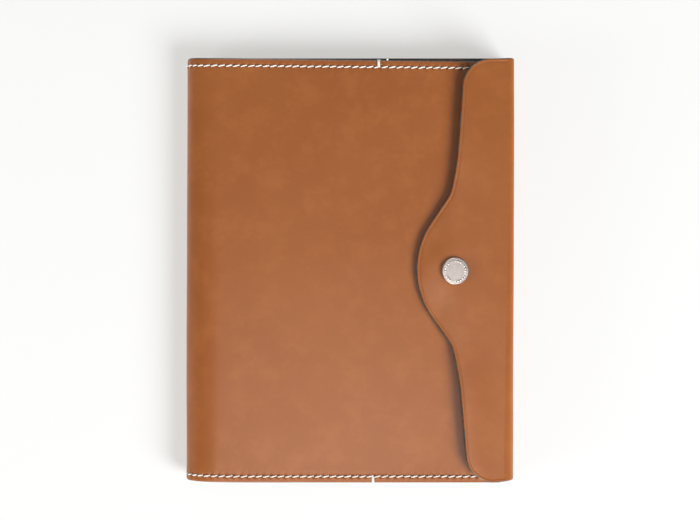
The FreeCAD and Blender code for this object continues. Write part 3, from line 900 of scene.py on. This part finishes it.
def satin_metal(name, dark, bright, roughness):
    """Satin metal with turning marks about the press stud's axis, polished where the cap's ring stands."""
    shader = Shader(name)
    place = shader.place()
    parts = shader.add("ShaderNodeSeparateXYZ", {0: place})
    across = shader.math("SUBTRACT", parts.outputs[0], SNAP_X * MM)
    along = shader.math("SUBTRACT", parts.outputs[1], SNAP_Y * MM)
    radius = shader.math("SQRT", shader.math("ADD", shader.times(across, across),
                                             shader.times(along, along)))
    ring_place = shader.add("ShaderNodeCombineXYZ", {0: radius}).outputs[0]
    rings = shader.noise(ring_place, 9000.0, 2.0, 0.5)
    patina = shader.noise(place, 420.0, 4.0, 0.6)
    colour = shader.mix(shader.ramp(patina, 0.3, 0.75), dark, bright)
    rough = shader.math("ADD", roughness, shader.times(patina, 0.12))
    from_ring = shader.math("ABSOLUTE", shader.math("SUBTRACT", radius, RING_RADIUS * MM))
    worn = shader.math("SUBTRACT", 1.0, shader.ramp(from_ring, 0.3 * MM, 0.7 * MM))
    rough = shader.math("SUBTRACT", rough, shader.times(worn, 0.14))
    normal = shader.bump(rings, 0.15, 0.02 * MM)
    shader.set(Base_Color=colour, Metallic=1.0, Roughness=rough, Normal=normal)
    return shader.material


OUTER = leather("tan_leather", srgb(140, 78, 34), srgb(145, 83, 37), srgb(155, 91, 43), 0.33, 0.35)
SLEEVE_LEATHER = leather("sleeve_leather", srgb(142, 80, 42), srgb(160, 93, 52), srgb(174, 106, 64),
                         0.55, 0.45, stitched=False)
FLESH = suede("flesh_side", srgb(132, 86, 54), srgb(164, 112, 74))
LINING_SUEDE = suede("lining_suede", srgb(104, 66, 42), srgb(134, 90, 60))
PAINT = edge_paint()
THREAD = waxed_thread()
NICKEL = satin_metal("satin_nickel", srgb(208, 197, 191), srgb(220, 209, 202), 0.36)
SPRING_WIRE = satin_metal("spring_wire", srgb(170, 170, 172), srgb(215, 215, 218), 0.22)


# The leather

def swell(station, y):
    """The slow unevenness of a large sheet, about a quarter of a millimetre, and only inwards on the back."""
    slow = noise.noise(Vector((station / 55.0, y / 60.0, 3.1)))
    quick = noise.noise(Vector((station / 17.0, y / 19.0, 7.7)))
    return SLOW_SWELL * slow + QUICK_SWELL * quick + BACK_INSET * underneath(station)


def row_relief(station, y):
    """How far stitching draws a lined sheet in: a groove, a pucker at each hole, a soft roll at the edge."""
    if station > LINING_END:
        return 0.0
    gap = HALF_LENGTH - abs(y)
    groove = GROOVE + BACK_GROOVE * underneath(station)
    across = min(abs(station - row) for row in EDGE_ROWS)
    if gap > ROW_INSET + 1.0 and across < 3.0:
        return groove * bell(across, 0.8)
    along = math.cos(2 * math.pi * (station - FIRST_STITCH + PITCH / 2) / PITCH)
    sunk = groove * bell(gap - ROW_INSET, 0.8)
    sunk += PUCKER * bell(gap - ROW_INSET, 1.3) * along
    sunk += WIDE_PUCKER * bell(gap - ROW_INSET, 3.0) * along
    return sunk + EDGE_ROLL * smooth(1.6, 0.0, gap) - 0.05 * bell(gap - 6.0, 1.8)


def outer_relief(station, y, inset):
    """The outer face of the front, spine and back."""
    return swell(station, y) * smooth(0.0, 8.0, HALF_LENGTH - abs(y)) + row_relief(station, y)


def flap_droop(station, y, inset=None):
    """How far the flap sinks towards the front: the tongue hangs and dishes round the press stud, and the
    ends stand a little open."""
    across = math.hypot(FLAP_START + FOLD_X - station - SNAP_X, y - SNAP_Y)
    hanging = smooth(CAP_RADIUS + 1.5, CAP_RADIUS + 13.0, across)
    hanging *= smooth(FLAP_START + 20.0, FLAP_START + 38.0, station)
    opened = smooth(34.0, 70.0, abs(y)) * smooth(FLAP_START, FLAP_START + 20.0, station)
    return TONGUE_DISH * bell(across, 9.0) + TONGUE_HANG * hanging - FLAP_END_RISE * opened


def flap_relief(station, y, inset):
    """The flap's face, with a creased line beside its cut edge."""
    sunk = 0.6 * swell(station, y) + flap_droop(station, y)
    if inset is not None and station > FLAP_START - 2:
        sunk += FLAP_LINE_DEPTH * bell(inset - FLAP_LINE_INSET, FLAP_LINE_WIDTH)
    return sunk


def bend_piece(piece, body_a, body_b, begin, end, slot, *nodes):
    """Bakes a piece's place into its mesh and hides the CAD nodes it stands for."""
    tuple(fold(begin, 0.0, 0.0))
    tuple(fold(end, 0.0, 0.0))
    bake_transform(piece)
    if nodes:
        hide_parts(*nodes)


def fix_piece(piece, body, node):
    """Makes a piece move with one body, and stand for its CAD node."""
    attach(piece, body)
    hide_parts(node)


LEATHER_MATERIALS = [OUTER, PAINT, FLESH]

# Each strip's ends, its two bodies, two stations, and the ends of its CAD nodes' names
STRIPS = (("front", 0.0, UPPER_CUT, ("spine_upper", "front_cover", UPPER_CUT, FRONT_RUN),
           ("front", "spine_upper")),
          ("spine", UPPER_CUT, LOWER_CUT, ("spine_lower", "spine_upper", LOWER_CUT, UPPER_CUT), ()),
          ("back", LOWER_CUT, LINING_END, ("back_cover", "spine_lower", BACK_START, LOWER_CUT),
           ("spine_lower", "back")))


def make_outer_leather():
    """The cover's outer leather, cut where no body bends."""
    for part, begin, end, hinge, nodes in STRIPS:
        strip = (begin, min(end, BACK_CUT), LEATHER_RIM, part == "front")
        piece = make_sheet("leather_" + part, strip_outline(*strip), 0.0, LEATHER,
                           strip_points(*strip), strip_points(*strip, coarse=True),
                           LEATHER_MATERIALS, relief=outer_relief, cut=trimmed, bare_tail=True)
        bend_piece(piece, *hinge, "outer_leather", *("outer_" + node for node in nodes))

    strip = (BACK_CUT, GUSSET_CUT, LEATHER_RIM)
    piece = make_sheet("leather_back_fore", strip_outline(*strip), 0.0, LEATHER,
                       strip_points(*strip), strip_points(*strip, coarse=True),
                       LEATHER_MATERIALS, relief=outer_relief, cut=fore_cut)
    bend_piece(piece, "back_cover", "gusset", FOLD_START, FOLD_START + FOLD_RUN, "outer_leather",
               "outer_gusset")

    points = flap_points(FLAP_GAPS[0])
    piece = make_sheet("leather_flap", flap_outline(FLAP_GAPS[0]), 0.0, LEATHER, points, points,
                       LEATHER_MATERIALS, gaps=FLAP_GAPS, relief=flap_relief, inner_relief=flap_droop,
                       cut=fore_cut)
    bend_piece(piece, "gusset", "flap", FLAP_START - FOLD_RUN, FLAP_START, "outer_leather", "outer_flap")


def make_lining():
    """The lining inside the front, spine and back."""
    for part, begin, end, hinge, nodes in STRIPS:
        strip = (begin, end, LINING_RIM, part == "front", part == "back")
        points = strip_points(*strip, coarse=True)
        piece = make_sheet("lining_" + part + "_sheet", strip_outline(*strip), LEATHER, LINING,
                           points, points, [PAINT, PAINT, LINING_SUEDE], rim=LINING_RIM)
        bend_piece(piece, *hinge, "lining_leather", *("lining_" + node for node in nodes))


def make_sleeves():
    """The sleeves, raised between their stitched borders."""
    front_mouth = front_station((FRONT_TACKS[0][0] + FRONT_TACKS[1][0]) / 2)
    slant = (FRONT_TACKS[1][0] - FRONT_TACKS[0][0]) / 2
    for name, begin, end, body, free_begin, edge, lean in (
            ("front_sleeve", 0.0, front_mouth, "front_cover", True, 0.0, slant),
            ("back_sleeve", BACK_SLEEVE_MOUTH, LINING_END, "back_cover", False, LINING_END, 0.0)):

        def raised(station, y, inset=None):
            gap = min(HALF_LENGTH - abs(y), abs(station - edge))
            return SLEEVE_SLOT * smooth(4.2, 6.8, gap)

        outline = strip_outline(begin, end, SLEEVE_RIM, free_begin, True, slant=lean)
        points = strip_points(begin, end, SLEEVE_RIM, True, True, coarse=True)
        piece = make_sheet(name + "_sheet", outline, INSIDE, SLEEVE, points, points,
                           [SLEEVE_LEATHER, PAINT, SLEEVE_LEATHER], rim=SLEEVE_RIM,
                           relief=raised, inner_relief=raised)
        fix_piece(piece, body, name)


def make_stitching():
    """All the thread."""
    for word, side in (("top", 1), ("bottom", -1)):
        for part, begin, end, hinge, _ in STRIPS:
            nodes = [part + "_" + word + "_seam"]
            if part == "spine":
                nodes = ["spine_upper_stitches", "spine_lower_stitches"]
            piece = row_thread("thread_" + part + "_" + word, side, begin, end)
            bend_piece(piece, *hinge, "thread", *nodes)
    for name, station, lift, body in (("front_edge", EDGE_ROWS[0], 0.0, "front_cover"),
                                      ("back_edge", EDGE_ROWS[1], -BACK_SUNK, "back_cover")):
        piece = edge_thread("thread_" + name, station, lift)
        fix_piece(piece, body, name + "_seam")
    for name, tacks, station_at, sunk, body, cut in (
            ("front_tacks", FRONT_TACKS, front_station, 0.0, "front_cover", trimmed),
            ("back_tacks", BACK_TACKS, back_station, 0.55, "back_cover", as_cut)):
        piece = tack_thread("thread_" + name, tacks, station_at, sunk, cut, name == "front_tacks")
        fix_piece(piece, body, name)


def make_press_stud():
    """The turned metal pieces."""
    def milled(radius, angle, z):
        """The height of the ring of beads on the cap's face."""
        if z < CAP_TOP - 0.4:
            return 0.0
        band = smooth(0.55, 0.15, abs(radius - RING_RADIUS))
        uneven = 0.65 + 0.35 * math.sin(5 * angle + 1.0)
        return BEAD_HEIGHT * band * uneven * (0.5 + 0.5 * math.cos(RING_BEADS * angle)) ** 1.5

    face = [(radius, CAP_TOP - CAP_CROWN * (radius / CAP_RADIUS) ** 2) for radius in
            (6.2, 6.05, 5.9, 5.75, 5.6, 5.45, 5.3, 5.15, 5.0, 4.85, 4.7, 4.4, 3.6, 2.4, 1.2)]
    turns = [math.pi / 2 * step / ROUND_STEPS for step in range(ROUND_STEPS)]
    side = [(CAP_RADIUS - CAP_ROUND * (1 - math.cos(turn)), CAP_TOP - CAP_ROUND * (1 - math.sin(turn)))
            for turn in turns]
    profile = [(0.0, FLAP_TOP), (CAP_RADIUS - 0.5, FLAP_TOP), (CAP_RADIUS, FLAP_TOP + 0.25)]
    cap = lathe("snap_cap_disc", profile + side + face + [(0.0, CAP_TOP)], NICKEL, CAP_SEGMENTS, milled)
    fix_piece(cap, "flap", "snap_cap")

    roof = FLAP_TOP - LEATHER
    low = SOCKET_LOW
    socket = lathe("snap_socket_ring", [
        (0.0, roof - 0.7), (1.3, roof - 0.72), (2.1, roof - 0.62), (2.2, roof - 0.45), (2.9, roof - 0.40),
        (2.95, low + 0.65), (3.1, low + 0.62), (3.1, low + 0.18), (2.82, low + 0.12), (2.9, low + 0.02),
        (3.2, low), (3.5, low + 0.03), (3.75, low + 0.35), (4.1, low + 0.75), (4.7, low + 0.95),
        (5.2, low + 1.05), (5.45, low + 1.2), (5.5, low + 1.45), (5.4, roof), (0.0, roof)],
        NICKEL, STUD_SEGMENTS)
    fix_piece(socket, "flap", "snap_socket")

    base = FRONT_TOP
    top = STUD_TOP
    stud = lathe("snap_stud_base", [
        (0.0, base), (4.8, base), (5.0, base + 0.1), (4.95, base + 0.28), (4.7, base + 0.38),
        (3.2, base + 0.42), (2.5, base + 0.48), (2.2, base + 0.62), (2.15, base + 0.95), (2.3, base + 1.12),
        (2.65, base + 1.2), (2.7, base + 1.32), (2.6, base + 1.48), (2.35, top - 0.02), (1.6, top),
        (1.2, top - 0.06), (0.9, top - 0.3), (0.0, top - 0.34)], NICKEL, STUD_SEGMENTS)
    fix_piece(stud, "front_cover", "snap_stud")
    for node, made_material in (("snap_post", NICKEL), ("snap_spring", SPRING_WIRE)):
        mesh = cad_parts[node].data
        mesh.materials.clear()
        mesh.materials.append(made_material)


def make_stage():
    """A pale floor that glows a little, a key light from the tail's right, sheens, and the camera above."""
    floor_shader = Shader("floor")
    place = floor_shader.place()
    tone = floor_shader.noise(place, 3.0, 2.0, 0.5)
    colour = floor_shader.mix(tone, (0.33, 0.33, 0.325, 1), (0.35, 0.35, 0.345, 1))
    floor_shader.set(Base_Color=colour, Roughness=0.9, Emission_Color=(0.99, 0.985, 0.955, 1),
                     Emission_Strength=0.535)
    mesh = bpy.data.meshes.new("floor")
    corners = ((-1, -1), (1, -1), (1, 1), (-1, 1))
    mesh.from_pydata([(x * FLOOR_REACH, y * FLOOR_REACH, 0) for x, y in corners], [], [(0, 1, 2, 3)])
    mesh.materials.append(floor_shader.material)
    add_object("floor", mesh)

    world = bpy.data.worlds.new("studio")
    bpy.context.scene.world = world
    world.use_nodes = True
    background = world.node_tree.nodes["Background"]
    background.inputs["Color"].default_value = (1.0, 0.995, 0.985, 1)
    background.inputs["Strength"].default_value = 0.24

    for name, spot, size, power, colour, reflected in LIGHTS:
        lamp = bpy.data.lights.new(name, "AREA")
        lamp.shape = "DISK"
        lamp.size = size
        lamp.energy = power
        lamp.color = colour
        light = add_object(name, lamp)
        light.location = spot
        light.visible_glossy = reflected
        light.visible_diffuse = not reflected
        light.rotation_euler = (Vector() - Vector(spot)).to_track_quat("-Z", "Y").to_euler()

    camera_data = bpy.data.cameras.new("camera")
    camera_data.sensor_width = 36.0
    camera_data.lens = CAMERA_LENS
    camera = add_object("camera", camera_data)
    camera.location = CAMERA_PLACE
    bpy.context.scene.camera = camera
    bpy.context.scene.view_settings.view_transform = "Standard"


make_outer_leather()
make_lining()
make_sleeves()
make_stitching()
make_press_stud()
make_stage()
